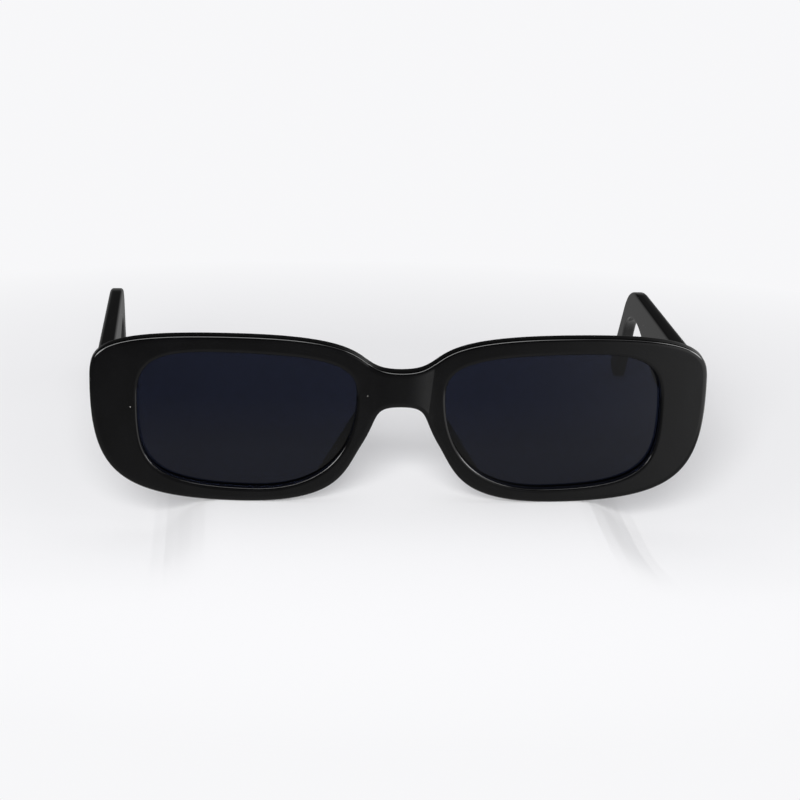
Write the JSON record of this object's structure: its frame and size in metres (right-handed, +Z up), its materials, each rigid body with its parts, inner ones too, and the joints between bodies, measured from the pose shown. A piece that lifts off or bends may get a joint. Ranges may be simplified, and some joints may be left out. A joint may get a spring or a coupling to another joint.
{
  "type": "sunglasses",
  "caption": "Small square sunglasses with a gloss black front, dark smoke lenses, wide straight temples with bent ear pieces, and temples that fold flat behind the lenses.",
  "frame": {"origin": "bottom centre of the bounding box, with both temples open and the frame standing on its rims and temple tips", "axes": "+X to the wearer's left, +Y from the front back towards the ears, +Z up"},
  "size_m": [0.1438, 0.1468, 0.0397],
  "materials": {
    "acetate": "polished black acetate",
    "temple_acetate": "polished black acetate",
    "pad": "polished black acetate, slightly worn",
    "lens": "smoke tint, polished",
    "hinge_steel": "satin",
    "screw_steel": "turned",
    "core_steel": "rolled"
  },
  "bodies": {
    "front_body": {"front": "acetate", "lens_left": "lens", "lens_right": "lens", "nose_pad_left": "pad", "nose_pad_right": "pad", "front_hinge_leaf_left": "hinge_steel", "front_hinge_leaf_right": "hinge_steel", "hinge_screw_left": "screw_steel", "hinge_screw_right": "screw_steel"},
    "left_arm": {"temple_left": "temple_acetate", "core_wire_left": "core_steel", "temple_hinge_leaf_left": "hinge_steel"},
    "right_arm": {"temple_right": "temple_acetate", "core_wire_right": "core_steel", "temple_hinge_leaf_right": "hinge_steel"}
  },
  "joints": [
    {"name": "fold_left", "type": "hinge", "parent": "front_body", "child": "left_arm", "pos_m": [0.0645, -0.06079, 0.02446], "axis": [0, -0.0485, 0.9988], "range_deg": [0, 88.2]},
    {"name": "fold_right", "type": "hinge", "parent": "front_body", "child": "right_arm", "pos_m": [-0.0645, -0.06079, 0.02446], "axis": [0, 0.0485, -0.9988], "range_deg": [0, 92]}
  ]
}
